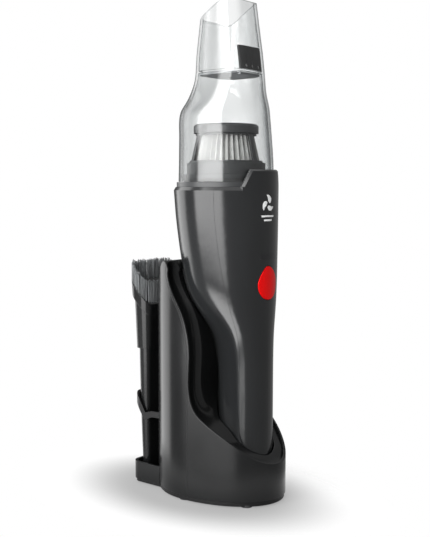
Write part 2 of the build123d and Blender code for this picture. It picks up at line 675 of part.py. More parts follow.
def make_brush_collar():
    """Sliding sleeve with a thicker, slanted band that holds the bristles."""
    sleeve = loft([flat_tube(29.6, 52.0, 68.2, 6.0, SLEEVE_Z), flat_tube(30.3, 51.6, 71.6, 7.5, 190.0)])
    band = loft([flat_tube(30.8, 51.0, 71.0, 7.0, 150.0), flat_tube(31.2, 50.6, 75.4, 8.5, 200.0)])
    lower = Polyline((40, 145), (50, 156.5), (74, 179.5), (90, 195), (90, 250), (40, 250), close=True)
    inside = loft([flat_tube(28.35, 53.25, 66.0, 5.0, SLEEVE_Z - 1),
                   flat_tube(28.35, 53.25, 67.2, 5.2, 205.0)])
    top = Polyline((40, 100), (90, 100), (90, 208), (74, 192.0), (51, 168.5), (40, 157), close=True)
    collar = (sleeve + (band & side_prism(lower))) & side_prism(top)
    return collar - inside


def make_bristles():
    """Space that the ring of bristles fills above the collar."""
    ring = loft([flat_tube(30.2, 51.6, 71.6, 7.5, 160.0), flat_tube(30.8, 50.8, 77.0, 8.5, 214.0)])
    ring = ring - loft([flat_tube(28.6, 53.0, 67.6, 5.2, 159.0), flat_tube(28.9, 53.0, 68.6, 5.4, 216.0)])
    low = Polyline((40, 157.3), (51, 168.8), (74, 192.3), (90, 208.6), (90, 232), (76, 211.0), (50, 187.0),
                   (40, 178), close=True)
    return ring & side_prism(low) & slab(-60, 60, 0, REAR_LIMIT, 100, 300)


def export(name, shape):
    solids = shape.solids()
    export_step(solids[0] if len(solids) == 1 else Compound(solids), f"parts/{name}.step")
    print(name, len(solids))


os.makedirs("parts", exist_ok=True)
housing_front, housing_rear = make_housing()
cup_shell, nozzle_inner = make_cup()
dock_front_shell, dock_back_shell = make_dock()
inner_button = body_loft(-WALL - 0.9, 160, 230)
exports = {
    "dock_front_shell": dock_front_shell, "dock_back_shell": dock_back_shell,
    "dock_base_plate": make_base_plate(), "dock_feet": make_feet(), "dock_screws": make_dock_screws(),
    "tool_pocket": make_tool_pocket(), "tool_clip": make_tool_clip(),
    "charging_jack": make_charging_jack(), "jack_pin": make_jack_pin(),
    "dock_contact_block": make_contact_block(), "dock_contacts": make_dock_contacts(),
    "dock_board": make_dock_board(),
    "housing_front": housing_front, "housing_rear": housing_rear,
    "housing_screws": make_screws(POSTS, 4.0, 13.0),
    "top_collar": make_top_collar(), "motor_can": make_motor_can(), "motor_shaft": make_motor_shaft(),
    "impeller": make_impeller(), "fan_shroud": make_fan_shroud(), "motor_mount": make_motor_mount(),
    "battery_cells": make_battery_cells(), "battery_holder": make_battery_holder(),
    "control_board": make_control_board(), "switch_body": make_switch_body(),
    "switch_plunger": make_switch_plunger(), "power_button": make_power_button(),
    "indicator_lens": make_indicator_lens(), "exhaust_grille": make_exhaust_grille(),
    "handle_contacts": make_handle_contacts(),
    "cup_shell": cup_shell, "filter_base": make_filter_base(), "filter_cage": make_filter_cage(),
    "filter_media": make_filter_media(), "filter_cap": make_filter_cap(), "filter_seal": make_filter_seal(),
    "flap_bracket": make_flap_bracket(), "flap_pins": make_flap_pins(), "inlet_flap": make_flap(),
    "crevice_tool": make_crevice_tool(), "brush_collar": make_brush_collar(), "bristles": make_bristles(),
}
for node, shape in exports.items():
    export(node, shape)
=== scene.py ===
import json
import math
import random

import bmesh
import bpy
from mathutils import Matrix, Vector
from mathutils.bvhtree import BVHTree


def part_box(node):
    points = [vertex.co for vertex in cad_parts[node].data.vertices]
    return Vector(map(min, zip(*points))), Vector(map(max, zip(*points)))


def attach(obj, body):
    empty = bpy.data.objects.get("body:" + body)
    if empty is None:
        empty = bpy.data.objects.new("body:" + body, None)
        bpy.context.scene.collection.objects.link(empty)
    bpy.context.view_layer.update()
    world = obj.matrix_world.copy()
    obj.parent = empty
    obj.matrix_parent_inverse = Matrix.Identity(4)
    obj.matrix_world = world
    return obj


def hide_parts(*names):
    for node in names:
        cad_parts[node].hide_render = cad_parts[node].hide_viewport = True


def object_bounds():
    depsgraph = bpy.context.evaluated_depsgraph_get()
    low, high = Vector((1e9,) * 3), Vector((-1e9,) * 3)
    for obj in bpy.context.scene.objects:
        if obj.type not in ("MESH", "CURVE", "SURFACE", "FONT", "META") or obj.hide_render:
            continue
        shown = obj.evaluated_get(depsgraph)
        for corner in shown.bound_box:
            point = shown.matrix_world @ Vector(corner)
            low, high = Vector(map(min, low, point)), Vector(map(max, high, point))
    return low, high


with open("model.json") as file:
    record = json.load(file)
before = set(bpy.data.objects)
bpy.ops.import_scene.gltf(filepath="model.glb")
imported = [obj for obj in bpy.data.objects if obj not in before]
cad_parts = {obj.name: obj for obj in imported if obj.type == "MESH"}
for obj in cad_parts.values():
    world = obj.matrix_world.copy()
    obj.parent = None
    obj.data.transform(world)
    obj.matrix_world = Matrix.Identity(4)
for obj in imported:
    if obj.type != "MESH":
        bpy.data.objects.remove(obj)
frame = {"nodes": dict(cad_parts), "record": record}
cad_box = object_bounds()
NODES = frame["nodes"]
MM = 0.001

# ---- camera ----
CAMERA_PLACE = (-0.64478, -0.50818, 0.277)
CAMERA_TURN, CAMERA_DROP = -52.0, 5.15
FOCAL_LENGTH, SENSOR = 60.6704, 36.0


def make_camera():
    """A camera at the height of the dust cup's foot, looking slightly down at the dock's left front."""
    data = bpy.data.cameras.new("camera")
    data.sensor_width = SENSOR
    data.lens = FOCAL_LENGTH
    camera = bpy.data.objects.new("camera", data)
    bpy.context.scene.collection.objects.link(camera)
    camera.location = CAMERA_PLACE
    camera.rotation_euler = (math.radians(90.0 - CAMERA_DROP), 0.0, math.radians(CAMERA_TURN))
    bpy.context.scene.camera = camera


# ---- studio ----
BACKGROUND = 1.0
BASE_LIGHT, TOP_LIGHT = 0.34, 1.5
CEILING_EDGE = 0.55, 0.95  # sines of elevation between which the ceiling's light comes in
BOX_BLUR = 0.1  # half width, in sine of elevation, of a soft box's upper and lower edge
# Soft boxes: heading as (x, y), half angle, edge softness, lowest and highest sine of elevation, strength.
# The second continues the first below the horizon, as light thrown back by the floor; the last takes away.
SOFT_BOXES = [((-0.998, 0.069), 32.0, 4.0, -0.20, 0.80, 6.3),
              ((-0.998, 0.069), 32.0, 4.0, -1.20, -0.38, 6.4),
              ((-0.105, 0.994), 17.0, 6.0, -0.75, 0.80, 2.6),
              ((0.669, 0.744), 15.0, 8.0, -0.75, 0.50, -0.26)]


def make_world():
    """White to the camera; what lights the object is soft boxes, a pale ceiling and a dim far side."""
    world = bpy.data.worlds.new("studio")
    bpy.context.scene.world = world
    world.use_nodes = True
    tree = world.node_tree
    tree.nodes.clear()

    def add(kind, **settings):
        node = tree.nodes.new(kind)
        for key, value in settings.items():
            setattr(node, key, value)
        return node

    def smooth(value, low, high, bottom, top):
        node = add("ShaderNodeMapRange", interpolation_type="SMOOTHSTEP")
        for key, number in zip(("From Min", "From Max", "To Min", "To Max"), (low, high, bottom, top)):
            node.inputs[key].default_value = number
        tree.links.new(value, node.inputs["Value"])
        return node.outputs["Result"]

    def combine(operation, a, b):
        node = add("ShaderNodeMath", operation=operation)
        tree.links.new(a, node.inputs[0])
        tree.links.new(b, node.inputs[1])
        return node.outputs[0]

    direction = add("ShaderNodeTexCoord").outputs["Generated"]
    height = add("ShaderNodeSeparateXYZ")
    tree.links.new(direction, height.inputs[0])
    level = add("ShaderNodeVectorMath", operation="MULTIPLY")
    level.inputs[1].default_value = (1.0, 1.0, 0.0)
    tree.links.new(direction, level.inputs[0])
    heading = add("ShaderNodeVectorMath", operation="NORMALIZE")
    tree.links.new(level.outputs[0], heading.inputs[0])
    light = smooth(height.outputs["Z"], *CEILING_EDGE, BASE_LIGHT, TOP_LIGHT)
    for (x, y), half, soft, low, high, strength in SOFT_BOXES:
        towards = add("ShaderNodeVectorMath", operation="DOT_PRODUCT")
        towards.inputs[1].default_value = (x, y, 0.0)
        tree.links.new(heading.outputs[0], towards.inputs[0])
        edge = math.cos(math.radians(half + soft)), math.cos(math.radians(half - soft))
        across = smooth(towards.outputs["Value"], *edge, 0.0, strength)
        above = smooth(height.outputs["Z"], low - BOX_BLUR, low + BOX_BLUR, 0.0, 1.0)
        below = smooth(height.outputs["Z"], high - BOX_BLUR, high + BOX_BLUR, 1.0, 0.0)
        light = combine("ADD", light, combine("MULTIPLY", across, combine("MULTIPLY", above, below)))
    seen = add("ShaderNodeBackground")
    seen.inputs["Color"].default_value = (BACKGROUND, BACKGROUND, BACKGROUND, 1.0)
    lit = add("ShaderNodeBackground")
    lit.inputs["Color"].default_value = (1.0, 1.0, 1.0, 1.0)
    tree.links.new(light, lit.inputs["Strength"])
    path = add("ShaderNodeLightPath")
    mix = add("ShaderNodeMixShader")
    tree.links.new(path.outputs["Is Camera Ray"], mix.inputs[0])
    tree.links.new(lit.outputs[0], mix.inputs[1])
    tree.links.new(seen.outputs[0], mix.inputs[2])
    output = add("ShaderNodeOutputWorld")
    tree.links.new(mix.outputs[0], output.inputs["Surface"])
    bpy.context.scene.view_settings.view_transform = "Standard"


# ---- material graphs ----
class Graph:
    """A material's node tree, with short calls for the nodes used here."""

    def __init__(self, name):
        self.material = bpy.data.materials.new(name)
        self.material.use_nodes = True
        self.tree = self.material.node_tree
        self.tree.nodes.clear()
        self.place = self.add("ShaderNodeTexCoord").outputs["Object"]

    def add(self, kind, **settings):
        node = self.tree.nodes.new(kind)
        for key, value in settings.items():
            setattr(node, key, value)
        return node

    def join(self, source, target):
        self.tree.links.new(source, target)

    def noise(self, size, detail=2.0, stretch=(1.0, 1.0, 1.0)):
        """Noise whose features are about size metres across."""
        mapping = self.add("ShaderNodeMapping")
        mapping.inputs["Scale"].default_value = stretch
        self.join(self.place, mapping.inputs["Vector"])
        node = self.add("ShaderNodeTexNoise")
        node.inputs["Scale"].default_value = 1.0 / size
        node.inputs["Detail"].default_value = detail
        self.join(mapping.outputs[0], node.inputs["Vector"])
        return node.outputs["Fac"]

    def between(self, value, bottom, top, low=0.3, high=0.7):
        """The value spread from its range low to high over bottom to top."""
        node = self.add("ShaderNodeMapRange")
        for key, number in zip(("From Min", "From Max", "To Min", "To Max"), (low, high, bottom, top)):
            node.inputs[key].default_value = number
        self.join(value, node.inputs["Value"])
        return node.outputs["Result"]

    def shades(self, factor, dark, light):
        """A colour between dark and light."""
        node = self.add("ShaderNodeMix", data_type="RGBA")
        node.inputs["A"].default_value = (*dark, 1.0)
        node.inputs["B"].default_value = (*light, 1.0)
        self.join(factor, node.inputs["Factor"])
        return node.outputs["Result"]

    def math(self, operation, a, b):
        """One sum on two values, each a socket or a number."""
        node = self.add("ShaderNodeMath", operation=operation)
        for socket, value in zip(node.inputs, (a, b)):
            if isinstance(value, (int, float)):
                socket.default_value = value
            else:
                self.join(value, socket)
        return node.outputs[0]

    def soft_edges(self, radius):
        """Normals rounded over edges, and how strongly each point is part of an edge."""
        rounded = self.add("ShaderNodeBevel", samples=6)
        rounded.inputs["Radius"].default_value = radius
        plain = self.add("ShaderNodeNewGeometry")
        dot = self.add("ShaderNodeVectorMath", operation="DOT_PRODUCT")
        self.join(rounded.outputs[0], dot.inputs[0])
        self.join(plain.outputs["Normal"], dot.inputs[1])
        return rounded.outputs[0], self.between(dot.outputs["Value"], 1.0, 0.0, 0.86, 0.995)

    def bump(self, height, strength, distance, normal=None):
        """Normals tilted by a height, on top of other normals if they are given."""
        node = self.add("ShaderNodeBump")
        node.inputs["Strength"].default_value = strength
        node.inputs["Distance"].default_value = distance
        self.join(height, node.inputs["Height"])
        if normal is not None:
            self.join(normal, node.inputs["Normal"])
        return node.outputs[0]

    def principled(self, **sockets):
        """A principled shader with the named sockets joined or set."""
        node = self.add("ShaderNodeBsdfPrincipled")
        for key, value in sockets.items():
            socket = node.inputs[key.replace("_", " ")]
            if isinstance(value, bpy.types.NodeSocket):
                self.join(value, socket)
            else:
                socket.default_value = value
        return node.outputs[0]

    def done(self, shader):
        """The finished material."""
        output = self.add("ShaderNodeOutputMaterial")
        self.join(shader, output.inputs["Surface"])
        return self.material


def shaded(colour, share):
    """The colour made darker or lighter."""
    return tuple(min(1.0, channel * share) for channel in colour)


def moulded(name, colour, roughness, grain=0.00035, relief=0.12, edge=0.0006, level=0.5, edge_wear_and_shade=2.4):
    """Moulded plastic: spark-eroded grain, faint flow marks and slightly rubbed edges, lighter than the face;
    where the edge factor is below one the edges are darker instead, as painted shade.
    """
    g = Graph(name)
    flow = g.noise(0.045, 3.0, (1.0, 1.0, 0.35))
    specks = g.noise(grain, 2.0)
    normal, rim = g.soft_edges(edge)
    tone = g.shades(g.between(flow, 0.0, 1.0), shaded(colour, 0.82), shaded(colour, 1.2))
    # edges lighter than the face for an edge factor above one; below one they are darker, painted shade
    worn_and_shaded_edges = g.add("ShaderNodeMix", data_type="RGBA")
    g.join(g.math("MULTIPLY", rim, g.between(g.noise(0.006, 3.0), 0.1, 0.55)), worn_and_shaded_edges.inputs["Factor"])
    g.join(tone, worn_and_shaded_edges.inputs["A"])
    worn_and_shaded_edges.inputs["B"].default_value = (*shaded(colour, edge_wear_and_shade), 1.0)
    rough = g.math("ADD", g.between(flow, roughness - 0.03, roughness + 0.03),
                   g.between(specks, -0.025, 0.025))
    shader = g.principled(Base_Color=worn_and_shaded_edges.outputs["Result"], Roughness=rough, Specular_IOR_Level=level,
                          Normal=g.bump(specks, relief, 0.00004, normal))
    return g.done(shader)


def clear_plastic(name):
    """Polished clear plastic: see-through where it faces you, darker and shinier along its edges."""
    g = Graph(name)
    facing = g.add("ShaderNodeLayerWeight")
    facing.inputs["Blend"].default_value = 0.5
    slope = facing.outputs["Facing"]
    gleam = g.math("ADD", g.math("MULTIPLY", g.math("POWER", slope, 5.0), 0.7), 0.035)
    thick = g.math("POWER", slope, 2.0)
    haze = g.between(g.noise(0.02, 4.0), 0.0, 1.0)
    tint = g.add("ShaderNodeMix", data_type="RGBA")
    g.join(g.math("MULTIPLY", thick, g.between(haze, 0.9, 1.0, 0.0, 1.0)), tint.inputs["Factor"])
    tint.inputs["A"].default_value = (0.975, 0.98, 0.98, 1.0)
    tint.inputs["B"].default_value = (0.22, 0.235, 0.24, 1.0)
    through = g.add("ShaderNodeBsdfTransparent")
    g.join(tint.outputs["Result"], through.inputs["Color"])
    shine = g.add("ShaderNodeBsdfGlossy")
    shine.inputs["Color"].default_value = (1.0, 1.0, 1.0, 1.0)
    g.join(g.between(haze, 0.02, 0.05, 0.0, 1.0), shine.inputs["Roughness"])
    g.join(g.bump(g.noise(0.012, 1.0), 0.05, 0.0002), shine.inputs["Normal"])
    mix = g.add("ShaderNodeMixShader")
    g.join(gleam, mix.inputs[0])
    g.join(through.outputs[0], mix.inputs[1])
    g.join(shine.outputs[0], mix.inputs[2])
    return g.done(mix.outputs[0])


def paper(name):
    """Pleated filter paper: short fibres and a little dust in the folds."""
    g = Graph(name)
    fibres = g.noise(0.0006, 4.0, (1.0, 1.0, 0.25))
    clouds = g.noise(0.009, 3.0)
    tone = g.shades(g.between(g.math("ADD", g.math("MULTIPLY", fibres, 0.5),
                                     g.math("MULTIPLY", clouds, 0.5)), 0.0, 1.0),
                    (0.20, 0.20, 0.195), (0.36, 0.36, 0.35))
    return g.done(g.principled(Base_Color=tone, Roughness=0.95, Specular_IOR_Level=0.2,
                               Normal=g.bump(fibres, 0.5, 0.0002)))


def rubber(name):
    """Soft black rubber with a dull bloom."""
    g = Graph(name)
    bloom = g.noise(0.008, 4.0)
    pores = g.noise(0.0003, 2.0)
    normal, rim = g.soft_edges(0.0004)
    tone = g.shades(g.between(bloom, 0.0, 1.0), (0.010, 0.010, 0.010), (0.022, 0.022, 0.023))
    rough = g.math("SUBTRACT", g.between(bloom, 0.58, 0.74), g.math("MULTIPLY", rim, 0.12))
    return g.done(g.principled(Base_Color=tone, Roughness=rough,
                               Normal=g.bump(pores, 0.25, 0.00006, normal)))


def metal(name, colour, roughness, grain=(1.0, 1.0, 0.06)):
    """Metal with fine drawn or brushed lines."""
    g = Graph(name)
    lines = g.noise(0.0004, 3.0, grain)
    stain = g.noise(0.01, 3.0)
    normal, rim = g.soft_edges(0.0003)
    tone = g.shades(g.between(stain, 0.0, 1.0), shaded(colour, 0.82), colour)
    rough = g.math("SUBTRACT", g.between(lines, roughness - 0.06, roughness + 0.1),
                   g.math("MULTIPLY", rim, 0.05))
    return g.done(g.principled(Base_Color=tone, Metallic=1.0, Roughness=rough,
                               Normal=g.bump(lines, 0.15, 0.00004, normal)))


def cell_wrap(name):
    """Shrink sleeve of a battery cell: glossy blue film with faint rings of tension."""
    g = Graph(name)
    rings = g.noise(0.004, 2.0, (0.1, 0.1, 1.0))
    tone = g.shades(g.between(rings, 0.0, 1.0), (0.01, 0.07, 0.20), (0.02, 0.12, 0.32))
    return g.done(g.principled(Base_Color=tone, Roughness=g.between(rings, 0.22, 0.34),
                               Normal=g.bump(rings, 0.2, 0.0001)))


def circuit_board(name):
    """Green solder mask over copper tracks."""
    g = Graph(name)
    tracks = g.add("ShaderNodeTexBrick")
    tracks.inputs["Scale"].default_value = 170.0
    tracks.inputs["Mortar Size"].default_value = 0.03
    tracks.inputs["Color1"].default_value = (0.010, 0.090, 0.035, 1.0)
    tracks.inputs["Color2"].default_value = (0.012, 0.110, 0.045, 1.0)
    tracks.inputs["Mortar"].default_value = (0.045, 0.210, 0.080, 1.0)
    turned = g.add("ShaderNodeMapping")
    turned.inputs["Rotation"].default_value = (math.radians(90.0), 0.0, 0.0)
    g.join(g.place, turned.inputs["Vector"])
    g.join(turned.outputs[0], tracks.inputs["Vector"])
    weave = g.noise(0.0008, 2.0)
    return g.done(g.principled(Base_Color=tracks.outputs["Color"], Roughness=g.between(weave, 0.25, 0.4),
                               Normal=g.bump(tracks.outputs["Fac"], 0.3, 0.00005)))


def nylon(name):
    """Grey nylon bristles with painted shade: darker towards their roots among the packed tufts, paler
    towards their cut tips.
    """
    g = Graph(name)
    low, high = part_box("bristles")
    height = g.add("ShaderNodeSeparateXYZ")
    g.join(g.place, height.inputs[0])
    tips = g.between(height.outputs["Z"], 0.0, 1.0, low.z, high.z)
    clumps = g.noise(0.0022, 3.0, (1.0, 1.0, 0.08))
    # painted shade: the colour falls from full at the tips to half at the roots
    tone = g.shades(g.math("MULTIPLY", g.between(clumps, 0.25, 1.0), g.between(tips, 0.5, 1.0, 0.0, 1.0)),
                    (0.018, 0.019, 0.020), (0.20, 0.21, 0.215))
    return g.done(g.principled(Base_Color=tone, Roughness=g.between(clumps, 0.34, 0.5),
                               Specular_IOR_Level=0.5,
                               Normal=g.bump(g.noise(0.0005, 2.0, (1.0, 1.0, 0.1)), 0.2, 0.00005)))


def silicone(name):
    """Grey silicone of the inlet flap, slightly cloudy."""
    g = Graph(name)
    cloud = g.noise(0.006, 3.0)
    tone = g.shades(g.between(cloud, 0.0, 1.0), (0.13, 0.135, 0.14), (0.20, 0.205, 0.21))
    return g.done(g.principled(Base_Color=tone, Roughness=g.between(cloud, 0.38, 0.5),
                               Normal=g.bump(g.noise(0.0004, 2.0), 0.15, 0.00005)))


def printed_white(name):
    """Pad-printed white ink, slightly uneven in cover."""
    g = Graph(name)
    cover = g.noise(0.0009, 3.0)
    tone = g.shades(g.between(cover, 0.0, 1.0), (0.66, 0.67, 0.67), (0.86, 0.86, 0.86))
    return g.done(g.principled(Base_Color=tone, Roughness=g.between(cover, 0.42, 0.58),
                               Normal=g.bump(cover, 0.15, 0.00003)))


FLOOR_RADIUS = 0.30
# painted shadow: the oval round the object in which the floor's colour and glow are darkened, and the oval's
# shift
SHADOW_SHIFT = (0.32, -0.04, 0.0)
SHADOW_RING = 0.9, 2.1
FADE_RING = 1.7, 2.7


def pale_floor():
    """White floor with a painted shadow: its colour and its own glow are darkened in an oval round the
    object, and the glow is painted light that lifts the floor's cast shadows. Further out it fades into the
    white world.

    The rings are counted in half widths of the object's footprint.
    """
    g = Graph("pale_floor")
    low, high = cad_box
    ellipse = g.add("ShaderNodeMapping")
    ellipse.inputs["Location"].default_value = SHADOW_SHIFT
    ellipse.inputs["Scale"].default_value = (1.0 / high.x, 1.0 / high.y, 0.0)
    g.join(g.place, ellipse.inputs["Vector"])
    reach = g.add("ShaderNodeVectorMath", operation="LENGTH")
    g.join(ellipse.outputs[0], reach.inputs[0])
    ring = g.add("ShaderNodeMapRange", interpolation_type="SMOOTHSTEP")
    ring.inputs["From Min"].default_value, ring.inputs["From Max"].default_value = SHADOW_RING
    g.join(reach.outputs["Value"], ring.inputs["Value"])
    # painted shadow: the floor's colour is darker in the oval round the object
    tone = g.shades(ring.outputs["Result"], (0.12, 0.12, 0.12), (0.24, 0.24, 0.24))
    # painted light: the floor glows of itself, lifting its cast shadows; the glow is darker in the oval,
    # painted shadow
    glow = g.shades(ring.outputs["Result"], (0.32, 0.32, 0.32), (0.66, 0.66, 0.66))
    mottle = g.noise(0.05, 3.0)
    surface = g.principled(Base_Color=tone, Roughness=g.between(mottle, 0.5, 0.6), Specular_IOR_Level=0.1,
                           Emission_Color=glow, Emission_Strength=1.0)
    fade = g.add("ShaderNodeMapRange", interpolation_type="SMOOTHSTEP")
    fade.inputs["From Min"].default_value, fade.inputs["From Max"].default_value = FADE_RING
    g.join(reach.outputs["Value"], fade.inputs["Value"])
    mix = g.add("ShaderNodeMixShader")
    g.join(fade.outputs["Result"], mix.inputs[0])
    g.join(surface, mix.inputs[1])
    g.join(g.add("ShaderNodeBsdfTransparent").outputs[0], mix.inputs[2])
    return g.done(mix.outputs[0])


# ---- finishes for the CAD nodes, by material slot ----
def make_finishes():
    """A finish for each material slot of the record."""
    return {
        "dock_satin": moulded("dock_satin", (0.0055, 0.0057, 0.0059), 0.19,
                              relief=0.08, edge=0.0009, level=0.32),
        "dock_matte": moulded("dock_matte", (0.005, 0.005, 0.0053), 0.40, level=0.25),
        "housing_gloss": moulded("housing_gloss", (0.009, 0.0095, 0.010), 0.16, relief=0.04, edge=0.0004),
        "inner_plastic": moulded("inner_plastic", (0.030, 0.030, 0.032), 0.5),
        "clear_plastic": clear_plastic("clear_plastic"),
        # painted shade: the button's edges are darkened, standing in for the shade of the gap round it
        "red_button": moulded("red_button", (0.60, 0.001, 0.001), 0.22, relief=0.03, level=0.16, edge_wear_and_shade=0.75),
        "lens": moulded("lens", (0.006, 0.006, 0.007), 0.08, relief=0.0, edge=0.0003),
        "rubber": rubber("rubber"),
        "filter_paper": paper("filter_paper"),
        "filter_plastic": moulded("filter_plastic", (0.020, 0.021, 0.022), 0.36),
        "bristle": nylon("bristle"),
        "steel": metal("steel", (0.58, 0.58, 0.60), 0.3),
        "brass": metal("brass", (0.78, 0.55, 0.24), 0.22),
        "metal_can": metal("metal_can", (0.55, 0.56, 0.58), 0.34),
        "cell_wrap": cell_wrap("cell_wrap"),
        "board": circuit_board("board"),
        "white_pin": moulded("white_pin", (0.82, 0.82, 0.81), 0.3),
    }


def paint_nodes(finishes):
    """Every CAD node takes the finish of its material slot."""
    for part in frame["record"]["subparts"]:
        slots = NODES[part["node"]].data.materials
        slots.clear()
        slots.append(finishes[part["material_slot"]])


# ---- pieces made here ----
def mesh_object(name, mesh_data, material, body=None):
    """A linked object from a bmesh, with its material, body and slot."""
    mesh = bpy.data.meshes.new(name)
    mesh_data.to_mesh(mesh)
    mesh_data.free()
    mesh.materials.append(material)
    piece = bpy.data.objects.new(name, mesh)
    bpy.context.scene.collection.objects.link(piece)
    if body:
        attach(piece, body)
    return piece


def make_floor():
    """The disc that the object stands on."""
    mesh = bmesh.new()
    bmesh.ops.create_circle(mesh, cap_ends=True, segments=96, radius=FLOOR_RADIUS)
    mesh_object("floor", mesh, pale_floor())


def ring_path(half_x, front, rear, radius, spacing):
    """Points and outward headings, evenly spaced round a rectangle with round corners."""
    centre = Vector((0.0, (front + rear) / 2, 0.0))
    flat_x, flat_y = half_x - radius, (rear - front) / 2 - radius
    bend = math.pi / 2 * radius
    headings = [Vector((0, -1, 0)), Vector((1, 0, 0)), Vector((0, 1, 0)), Vector((-1, 0, 0))]
    sides = list(zip(headings, headings[1:] + headings[:1], (flat_x, flat_y) * 2, (flat_y, flat_x) * 2))
    for i in range(int(4 * (flat_x + flat_y + bend) / spacing)):
        s = i * spacing
        for out, ahead, half_run, inset in sides:
            if s < 2 * half_run:
                place = centre + out * (inset + radius) + ahead * (s - half_run)
                yield place.x, place.y, out
                break
            s -= 2 * half_run
            if s < bend:
                turned = out * math.cos(s / radius) + ahead * math.sin(s / radius)
                place = centre + out * inset + ahead * half_run + turned * radius
                yield place.x, place.y, turned
                break
            s -= bend


def add_filament(mesh, foot, tip, width):
    """A five-sided bristle that narrows a little towards its cut tip."""
    rings = []
    axis = (tip - foot).normalized()
    side = axis.orthogonal().normalized()
    other = axis.cross(side)
    for share, size in ((0.0, 1.0), (0.55, 0.92), (1.0, 0.7)):
        centre = foot.lerp(tip, share)
        ring = []
        for k in range(5):
            angle = 2 * math.pi * k / 5
            offset = (side * math.cos(angle) + other * math.sin(angle)) * width / 2 * size
            ring.append(mesh.verts.new(centre + offset))
        rings.append(ring)
    for lower, upper in zip(rings, rings[1:]):
        for k in range(5):
            mesh.faces.new((lower[k], lower[(k + 1) % 5], upper[(k + 1) % 5], upper[k]))
    mesh.faces.new(rings[-1])
    mesh.faces.new(rings[0][::-1])


BRISTLE_WIDTH = 0.5 * MM
TUFT_ROWS = 0.7 * MM, 2.0 * MM
TUFT_SPACING = 2.5 * MM
FILAMENTS = 14
SUNK = 1.0 * MM
BRUSH_CORNER = 7.5 * MM
FRONT_GAP, REAR_GAP = 0.9 * MM, 1.6 * MM
BRUSH_FRONT = 51 * MM
ROOT_HEIGHT, ROOT_RISE = 168.8 * MM, 1.02  # at the brush's front, and per metre towards its rear
TIP_HEIGHT, TIP_RISE = 187.5 * MM, 0.90


def make_bristles(material):
    """Dense tufts round the slanted top of the brush collar, in place of the plain CAD ring."""
    low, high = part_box("bristles")
    front, rear = low.y, high.y
    draw = random.Random(7)
    mesh = bmesh.new()
    for inset in TUFT_ROWS:
        path = ring_path(high.x - inset, front + FRONT_GAP + inset, rear - REAR_GAP - inset,
                         BRUSH_CORNER - inset, TUFT_SPACING)
        for x, y, out in path:
            along = Vector((-out.y, out.x, 0))
            lean = out * draw.uniform(-0.2, 0.5) * MM + along * draw.uniform(-0.5, 0.5) * MM
            height = draw.uniform(-0.9, 0.7) * MM
            for _ in range(FILAMENTS):
                away = along * draw.uniform(-0.75, 0.75) * MM + out * draw.uniform(-0.6, 0.6) * MM
                foot = Vector((x, y, 0)) + away
                foot.z = ROOT_HEIGHT + (foot.y - BRUSH_FRONT) * ROOT_RISE - SUNK
                tip = foot + lean + away * draw.uniform(0.0, 0.35)
                tip.z = TIP_HEIGHT + (foot.y - BRUSH_FRONT) * TIP_RISE + height
                tip.z += draw.uniform(-0.5, 0.5) * MM
                tip.y = min(tip.y, rear - BRISTLE_WIDTH)
                add_filament(mesh, foot, tip, BRISTLE_WIDTH)
    piece = mesh_object("brush_tufts", mesh, material, "brush")
    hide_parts("bristles")


CAGE_RIBS = 3
CAGE_RIB_HALF = math.radians(5.0)
CAGE_FIRST_RIB = math.radians(30.0)
CAGE_WALL = 1.8 * MM
CAGE_RING = 2.0 * MM
CAGE_TAPER = 6.1 * MM
RIB_SUNK = 0.1 * MM
FULL_TURN = 2 * math.pi


def add_shell(mesh, axis, profile, start, sweep, steps):
    """A profile of (radius, z) points swept round an upright axis; a closed ring if sweep is a full turn."""
    full = sweep == FULL_TURN
    columns = []
    for i in range(steps if full else steps + 1):
        angle = start + sweep * i / steps
        column = []
        for radius, z in profile:
            place = (axis.x + radius * math.cos(angle), axis.y + radius * math.sin(angle), z)
            column.append(mesh.verts.new(place))
        columns.append(column)
    count = len(profile)
    pairs = list(zip(columns, columns[1:])) + ([(columns[-1], columns[0])] if full else [])
    for here, there in pairs:
        for k in range(count):
            n = (k + 1) % count
            mesh.faces.new((here[k], there[k], there[n], here[n]))
    if not full:
        mesh.faces.new(columns[0])
        mesh.faces.new(columns[-1][::-1])


def make_filter_cage(material):
    """Three slanted ribs between two rings, which hold the pleated cone."""
    low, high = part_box("filter_cage")
    axis = (low + high) / 2
    foot = (high.x - low.x) / 2
    mesh = bmesh.new()

    def radius_at(z):
        return foot - CAGE_TAPER * (z - low.z) / (high.z - low.z)

    def add_band(z0, z1, sunk, start, sweep, steps):
        r0, r1 = radius_at(z0) - sunk, radius_at(z1) - sunk
        profile = [(r0, z0), (r1, z1), (r1 - CAGE_WALL, z1), (r0 - CAGE_WALL, z0)]
        add_shell(mesh, axis, profile, start, sweep, steps)

    for z0, z1 in ((low.z, low.z + CAGE_RING), (high.z - CAGE_RING, high.z)):
        add_band(z0, z1, 0.0, 0.0, FULL_TURN, 72)
    for k in range(CAGE_RIBS):
        middle = CAGE_FIRST_RIB + FULL_TURN * k / CAGE_RIBS
        add_band(low.z + CAGE_RING / 2, high.z - CAGE_RING / 2, RIB_SUNK,
                 middle - CAGE_RIB_HALF, 2 * CAGE_RIB_HALF, 4)
    bmesh.ops.recalc_face_normals(mesh, faces=mesh.faces)
    piece = mesh_object("filter_ribs", mesh, material, "filter")
    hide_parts("filter_cage")


def tree_of(node):
    """A search tree of a CAD node's faces, for casting rays at it."""
    mesh = bmesh.new()
    mesh.from_mesh(NODES[node].data)
    tree = BVHTree.FromBMesh(mesh)
    mesh.free()
    return tree


